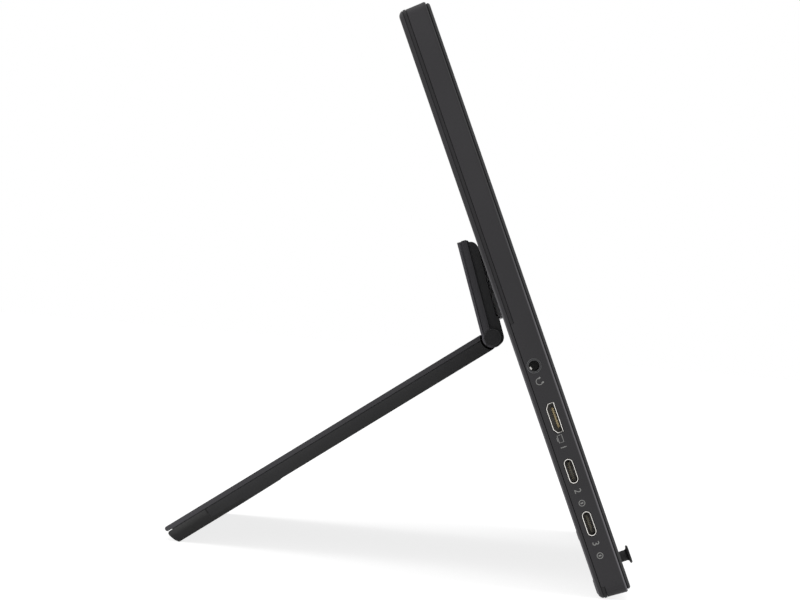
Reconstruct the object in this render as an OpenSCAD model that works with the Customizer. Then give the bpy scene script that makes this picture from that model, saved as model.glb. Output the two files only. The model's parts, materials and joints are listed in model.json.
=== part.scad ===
/* [Monitor housing] */
// Width of the monitor
body_w = 356; // [350:1:364]
// Height of the monitor along its own plane
body_h = 224; // [222:1:230]
// Thickness of the monitor from the bezel to the back
body_t = 11.9; // [11.9:0.1:13]
// Radius of the outline's corners
corner_r = 4; // [3.6:0.1:6]
// Wall of the middle band
wall = 2.4; // [2:0.1:2.6]
// Radius that rounds the back edge
back_round = 2.4; // [1.6:0.1:2.6]

/* [Screen] */
// Width of the opening in the bezel
screen_w = 345; // [340:0.5:346]
// Height of the opening in the bezel
screen_h = 194.6; // [190:0.2:196]
// Bezel above the screen
top_border = 7.5; // [7:0.1:9]

/* [Side ports, heights above the bottom edge] */
// Height of the audio jack
jack_z = 87.3; // [84:0.1:90]
// Height of the wide video socket
video_z = 67.3; // [64:0.1:70]
// Height of the upper oval socket
usb_upper_z = 47.4; // [45:0.1:50]
// Height of the lower oval socket
usb_lower_z = 27.6; // [26:0.1:30]
// Radius of the audio jack's bore
jack_bore_r = 1.8; // [1.75:0.05:1.9]

/* [Joystick] */
// Distance of the joystick left of the centre
joy_x = 150; // [140:1:160]
// Height of the joystick above the bottom edge
joy_z = 10.5; // [10:0.1:11.5]
// How far the cap stands out of the bezel
joy_out = 4; // [3:0.1:5]

/* [Stand] */
// Lean of the screen from upright
recline = 23.9; // [20:0.1:26]
// Width of the stand's plates
stand_w = 180; // [170:1:180]
// Angle between the bracket and the monitor's back
bracket_open = 4.3; // [3:0.1:6]
// Distance between the two hinge axes
link_len = 35.2; // [35:0.1:38]
// Radius of the bracket's round lower end
knuckle_r = 4.1; // [4:0.05:4.3]
// Length of the leg from the lower hinge to the tip of its foot
leg_len = 147.6; // [140:0.2:150]
// Height of the turntable's centre above the bottom edge
swivel_z = 112; // [110:1:114]
// Radius of the turntable
swivel_r = 47.9; // [47:0.1:50]

/* [Hidden] */
$fn = 48;
eps = 0.01;
// far enough to cut right through anything here
far = 400;

// Monitor frame: x to the right seen from the front, y backwards from the bezel's face,
// z up along the monitor from its bottom edge. place_monitor() leans it back on the table.
half_w = body_w / 2;
left_x = -half_w;

// Depths of the housing's layers behind the bezel's face
bezel_t = 0.95;
frame_y0 = 1.3;
frame_edge_y = 1.75;
frame_y1 = 8.75;
part_gap = 0.2;
cheek_y1 = 10.05;
cheek_gap = 0.06;
line_y1 = 10.3;
cover_in_y = 10.3;
// Insets of the outline, which tapers towards the back
bezel_inset = 0.8;
bezel_round = 0.9;
edge_inset = 0.35;
taper = 0.45;
cover_inset = 0.35;
tongue_inset = 1.3;
line_cut = 0.35;
cover_wall = 2.6;
// Zone of the left side where the band runs further back round the ports
cheek_z0 = 4.6;
cheek_z1 = 104;

// Screen and panel stack
screen_z0 = body_h - top_border - screen_h;
glass_y0 = 1;
glass_t = 0.9;
light_t = 1.9;
sheet_t = 0.4;
glass_lap = 1;
light_lap = 2;
light_y0 = glass_y0 + glass_t;
tray_y0 = light_y0 + light_t;
tray_y1 = tray_y0 + sheet_t;
tray_z0 = 4;
tray_slots_x = [-110, 0, 110];
tray_slot_z = 192;
tray_slot_w = 60;
tray_slot_h = 6;

// Narrow board of the panel, in the chin, with its flat cable
panel_board_w = 220;
panel_board_t = 0.6;
panel_board_z0 = 5.5;
panel_board_z1 = 16.5;
panel_board_y1 = tray_y1 + panel_board_t;
panel_chips_x = [-20, 20, 70];
panel_chip_w = 14;
cable_x0 = -106;
cable_x1 = -92;
cable_t = 0.25;

// Main board: [x0, x1, z0, z1, height] of each part on its face, and its two screws
board_x0 = left_x + 6;
board_x1 = -88;
board_z0 = 18;
board_z1 = 100;
board_y0 = 8.35;
board_y1 = 9.15;
board_parts = [[-150, -138, 60, 72, 1], [-130, -118, 84, 90, 1.2], [-150, -147, 26, 30, 1.6],
  [-144, -141, 26, 30, 1.6], [-138, -135, 26, 30, 1.6], [-132, -129, 26, 30, 1.6]];
board_holes = [[-95, 95], [-95, 40]];
can = [-136, -104, 36, 62];
can_h = 1.8;
can_t = 0.3;

// Ports, depths behind the bezel's face
jack_y = 6.9;
video_y = 6.2;
usb_y = 6.65;
port_face_x = left_x + 0.75;
jack_ring_r = 2.6;
jack_len = 12;
jack_x0 = port_face_x - 0.35;
jack_x1 = left_x + jack_len + 2.5;
jack_block = 3;
video_long = 11.1;
video_short = 3.4;
video_chamfer = 1.1;
video_tongue = [0.6, 7.8];
usb_tongue = [0.66, 6.6];
usb_long = 9.1;
usb_short = 3.3;
port_shell = 0.35;
port_gap = 0.15;
port_len = 8;

// Screws that hold the cover, each on a boss of the band
boss_spots = [[-168, 12], [168, 12], [-168, 112], [168, 112], [-168, 211], [168, 211],
  [-80, 214], [80, 214], [-45, 9.5], [45, 9.5]];
boss_r = 2.6;
boss_y0 = 5;
screw_r = 0.95;
screw_hole_r = 1;
screw_head_r = 1.9;
screw_head_t = 0.7;
head_sink = 0.2;
head_gap = 0.15;

// Slots in the back, and the speakers behind them
vent_count = 14;
vent_pitch = 6;
vent_w = 1.4;
vent_z0 = 202.5;
vent_z1 = 210.5;
sound_count = 8;
sound_pitch = 4;
sound_w = 1.2;
sound_x0 = 105;
speaker_x0 = 100;
speaker_x1 = 138;
speaker_y0 = 5.2;
speaker_y1 = 10.2;
speaker_z0 = 4.5;
speaker_z1 = 15.5;
speaker_rim = 3;

// Rubber strips on the bottom edge, a bar let into the cover and cut flat on the table
bar_y = 10.45;
bar_z = 1.95;
bar_r = 1.65;
bar_x0 = 115;
bar_len = 45;
table_cut = 0.15;

// Joystick pivot and sizes
joy_pivot_y = 6;
joy_back_y = 8;
shelf_w = 9;
joy_stem_r = 2;
joy_flange_r = 3.45;
joy_flange_t = 0.9;
joy_post_r = 1.1;
joy_hole_r = 2.9;
joy_box = 10;
joy_ring_out = 6.4;
joy_ring_in = 4.4;
joy_ring_t = 1.8;
joy_core = 3.6;
joy_pin_r = 0.6;
joy_small_pin_r = 0.5;
joy_fit = 0.05;

// Turntable
hub_r = 9;
turn_gap = 0.3;
pocket_y = 10.9;
disc_y0 = 10.95;
pocket_pad_r = 54;
pocket_pad_y = 9.6;
retainer_r = 16;
retainer_y0 = 7.7;
retainer_y1 = 8.7;
retainer_bore_r = 3;
washer_r = 14;
washer_y1 = 9.5;
disc_edge = 0.3;
hub_screw_r = 6;
hub_hole_y1 = 11.2;

// Upper hinge: its axis stands behind the back, seen from the monitor frame
hinge_y = body_t + 3.2;
hinge_z = 137;
ear_r = 2.5;
ear_in_x = 16;
ear_out_x = 35.5;
ear_t = 2.5;
leaf_t = 1.7;
leaf_low_t = 2.4;
leaf_z0 = 108.4;
leaf_z1 = 132.3;
leaf_x = ear_out_x + ear_t;
leaf_screws_x = [-28, -9, 9, 28];
upper_pin_r = 1.2;
fit_gap = 0.05;
press_gap = 0.02;
hinge_gap = 0.3;

// Bracket frame: origin on the lower hinge axis, z up along the bracket, y outwards
stand_x = stand_w / 2;
axis_t = -0.35;
skin_t = 1.7;
shell_out = knuckle_r - skin_t;
relief_in = -3.4;
relief_z0 = 7.5;
bracket_top = 39.3;
swing_r = 3.05;
cheek_x0 = 78;
cheek_x1 = stand_x - 1.6;
barrel_r = 3.85;
barrel_gap = 0.35;
cap_r = 3.3;
cap_gap = 0.06;
groove_w = 0.25;
groove_y = knuckle_r - 0.95;
lower_pin_r = 1.5;
lower_pin_x0 = 50;
cover_low = 1.6;
side_wall_y = 0.2;

// Leg frame: origin on the lower hinge axis, the leg hangs down along -z, y on its skin side
leg_skin = 3.27;
leg_skin_t = 1.9;
leg_seam = 0.27;
leg_body_top = leg_skin - leg_skin_t - leg_seam;
leg_start_r = 4.9;
neck_top = leg_body_top;
leg_wall = 2;
leg_floor = 1.5;
rib_t = 1.6;
bays_x = 5;
bay_z = 9;
bay_h = 40;
leg_screws_x = [-72, -24, 24, 72];
pad_t = 0.4;
pad_w0 = 115.5;
cap_w0 = 130;
contact_w = 145.9;
contact_q = -(knuckle_r + pad_t);
foot_step_q = -3;
foot_sink = 0.2;
leg_corner_r = 5;
clip_x0 = 57;
clip_x1 = 71;
clip_r = 2.5;

// Table height in the leaned frame, and the lower hinge above it
foot_low = -bar_y * sin(recline) + bar_z * cos(recline) - bar_r;
lift = -(foot_low + table_cut);
knee_y = hinge_y + (-axis_t) * cos(bracket_open) + link_len * sin(bracket_open);
knee_z = hinge_z + (-axis_t) * sin(bracket_open) - link_len * cos(bracket_open);
knee_height = lift - knee_y * sin(recline) + knee_z * cos(recline);
knee_back = knee_y * cos(recline) + knee_z * sin(recline);
// The leg leans so that the corner of its foot meets the table
reach = sqrt(contact_w * contact_w + contact_q * contact_q);
leg_slope = asin((knee_height + foot_sink) / reach) - atan(-contact_q / contact_w);
leg_open = 90 - leg_slope + recline;
// Shift that puts the middle of the depth over the origin
front_reach = -joy_out * cos(recline) + (joy_z - joy_flange_r) * sin(recline);
back_reach = knee_back + leg_len * cos(leg_slope) + 2.4 * sin(leg_slope);
shift_y = -(front_reach + back_reach) / 2;
echo(lift = lift, shift_y = shift_y, leg_open = leg_open, knee_y = knee_y, knee_z = knee_z);

// Placing

module place_monitor() {
  translate([0, shift_y, lift]) rotate([-recline, 0, 0]) children();
}

module place_bracket() {
  place_monitor() translate([0, knee_y, knee_z]) rotate([bracket_open, 0, 0]) children();
}

module place_leg() {
  place_monitor() translate([0, knee_y, knee_z]) rotate([leg_open, 0, 0]) children();
}

module place_joystick() {
  place_monitor() translate([-joy_x, joy_pivot_y, joy_z]) children();
}

module both_sides() {
  children();
  mirror([1, 0, 0]) children();
}

// Extrude a drawing of the (y, z) plane from x0 to x1
module along_x(x0, x1) {
  translate([x0, 0, 0]) rotate([90, 0, 90]) linear_extrude(x1 - x0) children();
}

// Extrude a drawing of the (x, z) plane from y0 to y1
module along_y(y0, y1) {
  translate([0, y1, 0]) rotate([90, 0, 0]) linear_extrude(y1 - y0) children();
}

module rod_x(x0, x1, r) {
  translate([x0, 0, 0]) rotate([0, 90, 0]) cylinder(h = x1 - x0, r = r);
}

module rod_y(y0, y1, r) {
  translate([0, y0, 0]) rotate([-90, 0, 0]) cylinder(h = y1 - y0, r = r);
}

module rod_z(z0, z1, r) {
  translate([0, 0, z0]) cylinder(h = z1 - z0, r = r);
}

module box(x0, x1, y0, y1, z0, z1) {
  translate([x0, y0, z0]) cube([x1 - x0, y1 - y0, z1 - z0]);
}

// A rectangle with round corners, from exact circles
module round_rect(x0, x1, z0, z1, r) {
  translate([x0 + r, z0]) square([x1 - x0 - 2 * r, z1 - z0]);
  translate([x0, z0 + r]) square([x1 - x0, z1 - z0 - 2 * r]);
  for (x = [x0 + r, x1 - r], z = [z0 + r, z1 - r]) translate([x, z]) circle(r);
}

// A slot with round ends, long along the second axis
module stadium(short, long) {
  translate([-short / 2, -(long - short) / 2]) square([short, long - short]);
  for (s = [-1, 1]) translate([0, s * (long - short) / 2]) circle(short / 2);
}

// The monitor's outline swept with one edge section. The child is a drawing of the section,
// inset from the outline along x up to corner_r and depth along y. The middle is filled.
module housing_slab(y0, y1) {
  for (m = [0, 1]) {
    translate([0, 0, m * body_h]) mirror([0, 0, m])
      along_x(corner_r - half_w, half_w - corner_r) mirror([1, -1]) children();
    mirror([m, 0, 0]) translate([-half_w, 0, corner_r])
      linear_extrude(body_h - 2 * corner_r) children();
  }
  box(corner_r - half_w, half_w - corner_r, y0, y1, corner_r, body_h - corner_r);
  for (x = [corner_r - half_w, half_w - corner_r], z = [corner_r, body_h - corner_r])
    translate([x, 0, z]) rotate([-90, 0, 0]) rotate_extrude()
      translate([corner_r, 0]) mirror([1, 0]) children();
}

// Inside of the housing at a given inset
module housing_hollow(inset, y0, y1) {
  along_y(y0, y1)
    round_rect(inset - half_w, half_w - inset, inset, body_h - inset, max(corner_r - inset, 1));
}

// Monitor

module bezel_section() {
  translate([bezel_inset + bezel_round, 0]) square([corner_r - bezel_inset - bezel_round, frame_y0]);
  translate([bezel_inset, bezel_round]) square([bezel_round, bezel_t - bezel_round]);
  intersection() {
    translate([bezel_inset + bezel_round, bezel_round]) circle(bezel_round);
    translate([bezel_inset, 0]) square(bezel_round);
  }
}

module front_bezel() {
  color("#2b2b2d") place_monitor() difference() {
    housing_slab(0, frame_y0) bezel_section();
    box(-screen_w / 2, screen_w / 2, -1, far, screen_z0, screen_z0 + screen_h);
    housing_hollow(wall, bezel_t, far);
    translate([-joy_x, 0, joy_z]) rod_y(-1, 2, joy_hole_r);
  }
}

module display_panel() {
  x1 = screen_w / 2 + glass_lap;
  color("#101114") place_monitor()
    box(-x1, x1, glass_y0, glass_y0 + glass_t, screen_z0 - glass_lap, screen_z0 + screen_h + glass_lap);
}

module backlight_unit() {
  x1 = screen_w / 2 + light_lap;
  z0 = screen_z0 - light_lap;
  z1 = screen_z0 + screen_h + light_lap;
  color("#e8e8e0") place_monitor() box(-x1, x1, light_y0, tray_y0, z0, z1);
}

// Folded sheet: flat back, side flanges round the backlight, and a strip for the board below
module panel_tray() {
  x1 = screen_w / 2 + light_lap;
  z1 = screen_z0 + screen_h + light_lap;
  joy_cut = 7;
  color("#9a9ca0") place_monitor() difference() {
    union() {
      box(-x1, x1, tray_y0, tray_y1, tray_z0, z1);
      both_sides() box(x1, x1 + sheet_t, light_y0, tray_y1, screen_z0, z1 - 5);
    }
    for (x = tray_slots_x)
      translate([x, 0, tray_slot_z]) along_y(tray_y0 - 1, tray_y1 + 1)
        rotate(90) stadium(tray_slot_h, tray_slot_w);
    translate([-joy_x, 0, joy_z]) box(-joy_cut, joy_cut, tray_y0 - 1, tray_y1 + 1, -joy_cut, joy_cut);
  }
}

module panel_board() {
  x1 = panel_board_w / 2;
  color("#2d4a33") place_monitor() {
    box(-x1, x1, tray_y1, panel_board_y1, panel_board_z0, panel_board_z1);
    for (x = panel_chips_x)
      box(x, x + panel_chip_w, panel_board_y1, panel_board_y1 + panel_board_t, 9, 13);
  }
}

// Flat cable from the narrow board up to the face of the main board
module panel_cable() {
  y0 = panel_board_y1;
  z0 = 11;
  z1 = board_z0 + 5;
  color("#b98d4a") place_monitor() along_x(cable_x0, cable_x1)
    polygon([[y0, z0], [y0 + cable_t, z0], [y0 + cable_t, z0 + 6.5], [board_y0 - 0.4, z1 - 0.5],
      [board_y0, z1], [board_y0, z1 + 7], [board_y0 - cable_t, z1 + 7], [board_y0 - cable_t, z1 + 0.4],
      [y0, z0 + 6.9]]);
}

// Section of the band: a bright edge at the front, then faces that taper to the back
module frame_section() {
  polygon([[edge_inset, frame_y0], [0, frame_edge_y], [taper, frame_y1], [corner_r, frame_y1],
    [corner_r, frame_y0]]);
}

// Bosses for the cover's screws, tied to the nearest wall by a rib
module boss_ribs() {
  inner = half_w - wall + 0.4;
  for (p = boss_spots) {
    side = sign(p[0]);
    translate([p[0], 0, p[1]]) rod_y(boss_y0, frame_y1, boss_r);
    if (p[1] > body_h - 20)
      box(p[0] - rib_t / 2, p[0] + rib_t / 2, boss_y0, frame_y1, p[1], body_h - wall + 0.4);
    if (p[1] < 20)
      box(p[0] - rib_t / 2, p[0] + rib_t / 2, boss_y0, frame_y1, wall - 0.4, p[1]);
    if (abs(p[0]) > half_w - 20)
      box(min(p[0], side * inner), max(p[0], side * inner), boss_y0, frame_y1, p[1] - rib_t / 2,
        p[1] + rib_t / 2);
  }
}

module port_holes() {
  x1 = left_x + wall + 4;
  translate([0, jack_y, jack_z]) rod_x(left_x - 1, x1, jack_ring_r + port_gap);
  translate([0, video_y, video_z]) along_x(left_x - 1, x1) video_outline(port_gap);
  for (z = [usb_upper_z, usb_lower_z])
    translate([0, usb_y, z]) along_x(left_x - 1, x1)
      stadium(usb_short + 2 * port_gap, usb_long + 2 * port_gap);
}

module mid_frame() {
  color("#3a393c") place_monitor() difference() {
    union() {
      difference() {
        housing_slab(frame_y0, frame_y1) frame_section();
        housing_hollow(wall, 0, far);
      }
      box(left_x + taper, left_x + wall, frame_y1 - eps, cheek_y1, cheek_z0, cheek_z1);
      boss_ribs();
      // shelf behind the bezel that carries the joystick's switch
      box(-joy_x - shelf_w, -joy_x + shelf_w, joy_back_y, frame_y1, wall - 0.4, joy_z + joy_box / 2);
    }
    port_holes();
    for (p = boss_spots) translate([p[0], 0, p[1]]) rod_y(boss_y0 + 0.6, far, screw_hole_r);
  }
}

// Section of the back: tongue into the band, side wall, fine line, then the round edge
module cover_section() {
  edge_x = cover_inset + back_round;
  side_y0 = frame_y1 + part_gap;
  edge_y = body_t - back_round;
  translate([tongue_inset, frame_y1]) square([corner_r - tongue_inset, body_t - back_round - frame_y1]);
  difference() {
    translate([cover_inset, side_y0]) square([tongue_inset - cover_inset + eps, edge_y - side_y0]);
    translate([0, cheek_y1]) square([cover_inset + line_cut, line_y1 - cheek_y1]);
  }
  translate([edge_x, body_t - back_round - eps]) square([corner_r - edge_x, back_round + eps]);
  difference() {
    intersection() {
      translate([edge_x, body_t - back_round]) circle(back_round);
      translate([cover_inset, body_t - back_round]) square(back_round);
    }
    translate([0, cheek_y1]) square([cover_inset + line_cut, line_y1 - cheek_y1]);
  }
}

// Air slots along the top, and sound slots over both speakers
module vent_slots() {
  for (i = [-vent_count:vent_count])
    box(i * vent_pitch - vent_w / 2, i * vent_pitch + vent_w / 2, cover_in_y - 2, far, vent_z0, vent_z1);
  both_sides() for (i = [0:sound_count - 1])
    box(sound_x0 + i * sound_pitch, sound_x0 + i * sound_pitch + sound_w, cover_in_y - 2, far,
      speaker_z0 + 2, speaker_z1 - 2);
}

module rear_cover() {
  color("#37363a") place_monitor() difference() {
    union() {
      difference() {
        housing_slab(frame_y1, body_t) cover_section();
        housing_hollow(cover_wall, 0, cover_in_y);
      }
      translate([0, 0, swivel_z]) rod_y(pocket_pad_y, body_t - 0.5, pocket_pad_r);
      for (p = boss_spots) translate([p[0], 0, p[1]]) rod_y(frame_y1, cover_in_y + eps, boss_r);
    }
    // room for the band's cheek round the ports
    box(left_x - 1, left_x + cover_wall, 0, line_y1 - 0.1, cheek_z0 - cheek_gap, cheek_z1 + cheek_gap);
    // round pocket and hub hole of the turntable
    translate([0, 0, swivel_z]) {
      rod_y(pocket_y, far, swivel_r + turn_gap);
      rod_y(0, far, hub_r + turn_gap);
    }
    vent_slots();
    for (p = boss_spots) translate([p[0], 0, p[1]]) {
      rod_y(0, far, screw_hole_r + fit_gap);
      rod_y(body_t - screw_head_t - head_sink, far, screw_head_r + head_gap);
    }
    both_sides() translate([0, bar_y, bar_z]) rod_x(bar_x0 - 0.1, bar_x0 + bar_len + 0.1, bar_r + fit_gap);
  }
}

// Main board with a notch for the jack and a few parts on its face
// Main board with a notch for the jack and a few parts on its face
module main_board() {
  notch_r = jack_ring_r + 1;
  color("#25412f") place_monitor() difference() {
    union() {
      box(board_x0, board_x1, board_y0, board_y1, board_z0, board_z1);
      for (p = board_parts) box(p[0], p[1], board_y0 - p[4], board_y0, p[2], p[3]);
    }
    box(board_x0 - 1, jack_x1 + 0.5, board_y0 - 1, board_y1 + 1, jack_z - notch_r, jack_z + notch_r);
    for (p = board_holes) translate([p[0], 0, p[1]]) rod_y(0, far, screw_hole_r);
  }
}

module shield_can() {
  color("#c9cacb") place_monitor() difference() {
    box(can[0], can[1], board_y0 - can_h, board_y0, can[2], can[3]);
    box(can[0] + can_t, can[1] - can_t, board_y0 - can_h + can_t, board_y0 + 1, can[2] + can_t,
      can[3] - can_t);
  }
}

module board_screws() {
  color("#8d8f92") place_monitor() for (p = board_holes) translate([p[0], 0, p[1]]) {
    rod_y(tray_y1, board_y1, screw_r);
    rod_y(board_y1, board_y1 + 0.5, screw_head_r);
  }
}

module audio_jack() {
  lead_in = 0.4;
  color("#1b1b1c") place_monitor() translate([0, jack_y, jack_z]) difference() {
    union() {
      rod_x(jack_x0, left_x + 4, jack_ring_r);
      box(left_x + wall + 0.2, jack_x1, tray_y1 + 0.15 - jack_y, jack_block, -jack_block, jack_block);
    }
    rod_x(jack_x0 - 1, jack_x0 + jack_len, jack_bore_r);
    translate([jack_x0 - eps, 0, 0]) rotate([0, 90, 0])
      cylinder(h = lead_in, r1 = jack_bore_r + lead_in, r2 = jack_bore_r);
  }
}

// Outline of the wide socket in (y, z), with the two corners at the back cut off
module video_outline(grow) {
  a = video_short / 2 + grow;
  b = video_long / 2 + grow;
  c = video_chamfer;
  polygon([[-a, -b], [a - c, -b], [a, -b + 1.5 * c], [a, b - 1.5 * c], [a - c, b], [-a, b]]);
}

// Contact board that stands up from a socket's floor
module socket_tongue(size) {
  box(port_face_x + 1, port_face_x + port_len - 0.5, -size[0] / 2, size[0] / 2, -size[1] / 2, size[1] / 2);
}

module video_socket() {
  color("#b9bbbd") place_monitor() translate([0, video_y, video_z]) {
    difference() {
      along_x(port_face_x, port_face_x + port_len) video_outline(0);
      along_x(port_face_x - 1, port_face_x + port_len - 1) video_outline(-port_shell);
    }
    translate([0, -0.45, 0]) socket_tongue(video_tongue);
  }
}

module usb_socket(z) {
  color("#b9bbbd") place_monitor() translate([0, usb_y, z]) {
    difference() {
      along_x(port_face_x, port_face_x + port_len) stadium(usb_short, usb_long);
      along_x(port_face_x - 1, port_face_x + port_len - 1)
        stadium(usb_short - 2 * port_shell, usb_long - 2 * port_shell);
    }
    socket_tongue(usb_tongue);
  }
}

module usb_socket_upper() {
  usb_socket(usb_upper_z);
}

module usb_socket_lower() {
  usb_socket(usb_lower_z);
}

module speaker_body() {
  r = speaker_rim;
  color("#1d1d1f") place_monitor() {
    difference() {
      box(speaker_x0, speaker_x1, speaker_y0, speaker_y1, speaker_z0, speaker_z1);
      box(speaker_x0 + r, speaker_x1 - r, speaker_y1 - 0.8, speaker_y1 + 1, speaker_z0 + 1.5,
        speaker_z1 - 1.5);
    }
    along_y(speaker_y1 - 1.2, speaker_y1 - 0.4)
      round_rect(speaker_x0 + r + 2, speaker_x1 - r - 2, speaker_z0 + 2.4, speaker_z1 - 2.4, 2.9);
  }
}

module speaker_left() {
  mirror([1, 0, 0]) speaker_body();
}

module speaker_right() {
  speaker_body();
}

// Cross recess in a screw head whose top lies in the plane y = 0, sunk towards +y
module cross_recess() {
  for (a = [0, 90]) rotate([0, a, 0]) box(-1.1, 1.1, -1, 0.4, -0.2, 0.2);
}

module cover_screws() {
  head_y1 = body_t - head_sink;
  color("#6f7174") place_monitor() for (p = boss_spots) translate([p[0], 0, p[1]]) difference() {
    union() {
      rod_y(boss_y0 + 1, head_y1 - screw_head_t, screw_r);
      rod_y(head_y1 - screw_head_t, head_y1, screw_head_r);
    }
    translate([0, head_y1, 0]) mirror([0, 1, 0]) cross_recess();
  }
}

module table_feet() {
  color("#1a1a1b") intersection() {
    place_monitor() both_sides() translate([0, bar_y, bar_z]) rod_x(bar_x0, bar_x0 + bar_len, bar_r);
    box(-far, far, -far, far, 0, far);
  }
}

// Joystick, drawn about its pivot

module joystick_base() {
  h = joy_box / 2;
  well = joy_ring_out / 2 + 0.5;
  back = joy_back_y - joy_pivot_y;
  color("#232325") place_joystick() difference() {
    box(-h, h, -2, back, -h, h);
    box(-well, well, -3, back - 0.8, -well, well);
    rod_x(-far, far, joy_pin_r + joy_fit);
  }
}

module joystick_yoke() {
  o = joy_ring_out / 2;
  i = joy_ring_in / 2;
  pin = joy_box / 2 - 0.1;
  color("#d8d8d2") place_joystick() difference() {
    union() {
      box(-o, o, -joy_ring_t / 2, joy_ring_t / 2, -o, o);
      rod_x(-pin, pin, joy_pin_r);
    }
    box(-i, i, -joy_ring_t, joy_ring_t, -i, i);
    rod_z(-far, far, joy_small_pin_r + joy_fit);
  }
}

module joystick_stem() {
  c = joy_core / 2;
  pin = joy_ring_out / 2 - 0.1;
  color("#c4c5c8") place_joystick() {
    box(-c, c, -joy_ring_t / 2 + 0.1, joy_ring_t / 2 - 0.1, -c, c);
    rod_z(-pin, pin, joy_small_pin_r);
    rod_y(-joy_pivot_y - 0.6, 0, joy_post_r);
  }
}

// Cap with a hollow top, a thin flange and a fillet down to its neck
module joystick_cap() {
  front = -joy_pivot_y - joy_out;
  fillet = 0.8;
  edge = 0.3;
  dish_r = 4;
  color("#161617") place_joystick() difference() {
    translate([0, front, 0]) rotate([-90, 0, 0]) rotate_extrude() {
      square([joy_flange_r - edge, joy_flange_t]);
      translate([0, edge]) square([joy_flange_r, joy_flange_t - 2 * edge]);
      square([joy_stem_r, joy_out + 1.2]);
      difference() {
        square([joy_stem_r + fillet, joy_flange_t + fillet]);
        translate([joy_stem_r + fillet, joy_flange_t + fillet]) circle(fillet);
      }
    }
    rod_y(-joy_pivot_y - 1.2, 0, joy_post_r + joy_fit);
    translate([0, front + 0.3 - dish_r, 0]) sphere(r = dish_r);
  }
}

// Stand: turntable in the back

module hub_screw_spots() {
  for (a = [45:90:315]) rotate([0, a, 0]) translate([hub_screw_r, 0, 0]) children();
}

module swivel_disc() {
  color("#333236") place_monitor() translate([0, 0, swivel_z]) difference() {
    union() {
      rod_y(disc_y0, body_t - disc_edge, swivel_r);
      translate([0, body_t - disc_edge, 0]) rotate([-90, 0, 0])
        cylinder(h = disc_edge, r1 = swivel_r, r2 = swivel_r - disc_edge);
      rod_y(retainer_y1, disc_y0 + eps, hub_r);
    }
    hub_screw_spots() rod_y(0, hub_hole_y1, screw_hole_r);
  }
}

module swivel_retainer() {
  color("#a5a7aa") place_monitor() translate([0, 0, swivel_z]) difference() {
    rod_y(retainer_y0, retainer_y1, retainer_r);
    rod_y(0, far, retainer_bore_r);
    hub_screw_spots() rod_y(0, far, screw_hole_r);
  }
}

module swivel_washer() {
  color("#c0c2c4") place_monitor() translate([0, 0, swivel_z]) difference() {
    rod_y(retainer_y1, washer_y1, washer_r);
    rod_y(0, far, hub_r + 0.2);
  }
}

module retainer_screws() {
  color("#6f7174") place_monitor() translate([0, 0, swivel_z]) hub_screw_spots() {
    rod_y(retainer_y0, hub_hole_y1 - 0.2, screw_r);
    rod_y(retainer_y0 - 0.6, retainer_y0, screw_head_r);
  }
}

// Upper hinge: a leaf on the turntable with two pairs of ears

// Side of an ear: a round eye on a foot whose top slopes down to the turntable
module ear_outline() {
  dy = hinge_y - body_t;
  translate([hinge_y, hinge_z]) circle(ear_r);
  translate([body_t, hinge_z])
    polygon([[0, -8], [leaf_t - 0.1, -8], [leaf_t - 0.1, -ear_r], [dy, -ear_r], [dy, ear_r],
      [dy - 0.6, 3.3], [0, 2.05]]);
}

module upper_hinge_base() {
  color("#28282a") place_monitor() {
    difference() {
      union() {
        along_x(-leaf_x, leaf_x) translate([body_t, 0])
          polygon([[0, leaf_z0], [leaf_low_t, leaf_z0], [leaf_t, leaf_z1], [0, leaf_z1]]);
        both_sides() {
          along_x(ear_in_x, ear_in_x + ear_t) ear_outline();
          along_x(ear_out_x, ear_out_x + ear_t) ear_outline();
        }
      }
      translate([0, hinge_y, hinge_z]) rod_x(-far, far, upper_pin_r + press_gap);
      for (x = leaf_screws_x) translate([x, 0, leaf_z0 + 5]) rod_y(body_t + 0.6, far, screw_head_r);
    }
  }
}

module upper_hinge_shafts() {
  color("#aeb0b3") place_monitor() both_sides() translate([0, hinge_y, hinge_z])
    rod_x(ear_in_x, ear_out_x + ear_t, upper_pin_r);
}

// Bracket

module bracket_outline() {
  a = link_len;
  circle(knuckle_r);
  translate([-knuckle_r, 0]) square([knuckle_r + shell_out, relief_z0]);
  polygon([[shell_out, 0], [shell_out, bracket_top], [axis_t + 0.93, bracket_top],
    [axis_t, a + 3.55], [axis_t, a], [relief_in, a], [relief_in, relief_z0 - 1],
    [-knuckle_r, relief_z0 - 1.6], [-knuckle_r, 0]]);
  translate([axis_t, a]) circle(swing_r);
}

module bracket_shell() {
  a = link_len;
  pocket_x = leaf_x + hinge_gap;
  color("#29292b") place_bracket() difference() {
    along_x(-cheek_x1, cheek_x1) difference() {
      bracket_outline();
      translate([shell_out, -far]) square(2 * far);
    }
    // room for the leg's barrel between the cheeks
    rod_x(-cheek_x0, cheek_x0, barrel_r + barrel_gap);
    box(-cheek_x0, cheek_x0, -far, far, -far, 0);
    box(-cheek_x0, cheek_x0, -far, -1.5, -far, 4);
    // pocket over the leaf of the upper hinge
    box(-pocket_x, pocket_x, -far, -1.6, 5.6, a - 3.3);
    // slots for the ears
    both_sides() for (x = [ear_in_x, ear_out_x])
      box(x - hinge_gap, x + ear_t + hinge_gap, -far, axis_t + 3, a - 3.3, far);
    // pin bores
    translate([0, axis_t, a]) rod_x(-ear_out_x, ear_out_x, upper_pin_r + fit_gap);
    both_sides() rod_x(cheek_x0 - 1, far, lower_pin_r + press_gap);
  }
}

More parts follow.
